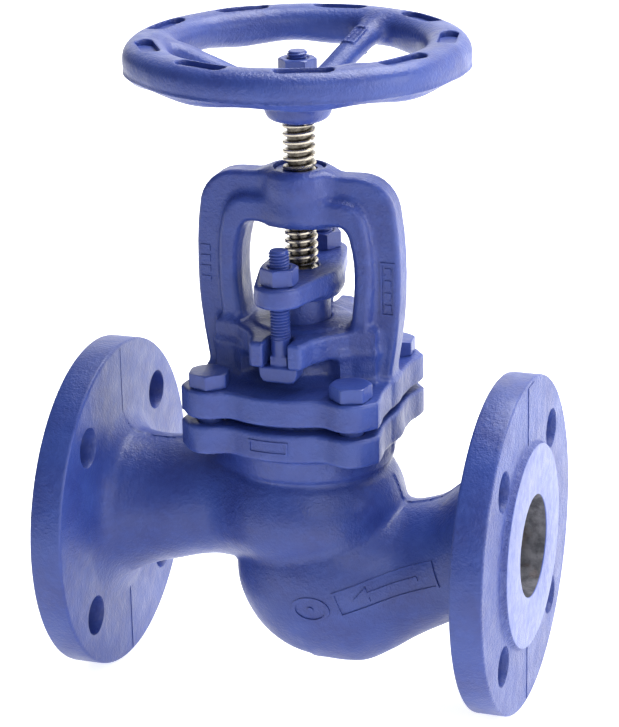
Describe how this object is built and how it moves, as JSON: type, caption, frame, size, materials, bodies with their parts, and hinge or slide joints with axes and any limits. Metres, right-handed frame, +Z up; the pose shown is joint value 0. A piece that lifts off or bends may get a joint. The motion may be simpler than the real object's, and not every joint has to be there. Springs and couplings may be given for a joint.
{
  "type": "globe valve",
  "caption": "Flanged cast globe valve: stem with outside screw in a bolted yoke bonnet, packed gland, swivel disc on a ring seat and a rising spoked handwheel.",
  "frame": {"origin": "the lowest point of the two pipe flanges, midway between them, under the stem; the pipe axis is 82.5 mm above it", "axes": "+X along the pipe towards the inlet flange, whose passage runs under the seat; +Z up along the stem to the handwheel"},
  "size_m": [0.23, 0.165, 0.3256],
  "materials": {
    "casting_paint": "semi-gloss blue paint over a sand casting's grain",
    "fastener_paint": "semi-gloss blue paint over machined steel",
    "stem_steel": "turned and oiled stainless steel, slightly warm",
    "trim_steel": "turned stainless steel",
    "bush_brass": "machined brass",
    "graphite": "matt pressed graphite"
  },
  "bodies": {
    "root": {"valve_body": "casting_paint", "seat_ring": "trim_steel", "bonnet_gasket": "graphite", "bonnet_yoke": "casting_paint", "backseat_bush": "trim_steel", "yoke_bush": "bush_brass", "bonnet_bolt_1": "fastener_paint", "bonnet_bolt_2": "fastener_paint", "bonnet_bolt_3": "fastener_paint", "bonnet_bolt_4": "fastener_paint", "packing_washer": "trim_steel", "packing_ring_1": "graphite", "packing_ring_2": "graphite", "packing_ring_3": "graphite", "packing_ring_4": "graphite", "packing_ring_5": "graphite", "gland_bolt_front": "fastener_paint", "gland_bolt_back": "fastener_paint"},
    "disc": {"valve_disc": "trim_steel", "split_ring_back": "trim_steel", "split_ring_front": "trim_steel", "disc_nut": "trim_steel"},
    "spindle": {"stem": "stem_steel", "handwheel": "casting_paint", "handwheel_washer": "fastener_paint", "handwheel_nut": "fastener_paint"},
    "gland": {"gland_follower": "casting_paint"},
    "nut_front": {"gland_nut_front": "fastener_paint"},
    "nut_back": {"gland_nut_back": "fastener_paint"}
  },
  "joints": [
    {"name": "disc_lift", "type": "slide", "parent": "root", "child": "disc", "axis": [0, 0, 1], "range_m": [0, 0.02]},
    {"name": "handwheel_turn", "type": "hinge", "parent": "disc", "child": "spindle", "pos_m": [0, 0, 0.2], "axis": [0, 0, 1], "range_deg": [0, 1800]},
    {"name": "gland_slide", "type": "slide", "parent": "root", "child": "gland", "axis": [0, 0, 1], "range_m": [0, 0.008]},
    {"name": "gland_nut_front_turn", "type": "hinge", "parent": "gland", "child": "nut_front", "pos_m": [0, -0.032, 0.2186], "axis": [0, 0, 1], "range_deg": [0, 1920.5]},
    {"name": "gland_nut_back_turn", "type": "hinge", "parent": "gland", "child": "nut_back", "pos_m": [0, 0.032, 0.2186], "axis": [0, 0, 1], "range_deg": [0, 1920.5]}
  ],
  "couplings": [
    {"joint": "disc_lift", "follows": "handwheel_turn", "m_per_rad": 0.00063662},
    {"joint": "gland_nut_front_turn", "follows": "gland_slide", "rad_per_m": 4188.8},
    {"joint": "gland_nut_back_turn", "follows": "gland_slide", "rad_per_m": 4188.8}
  ]
}
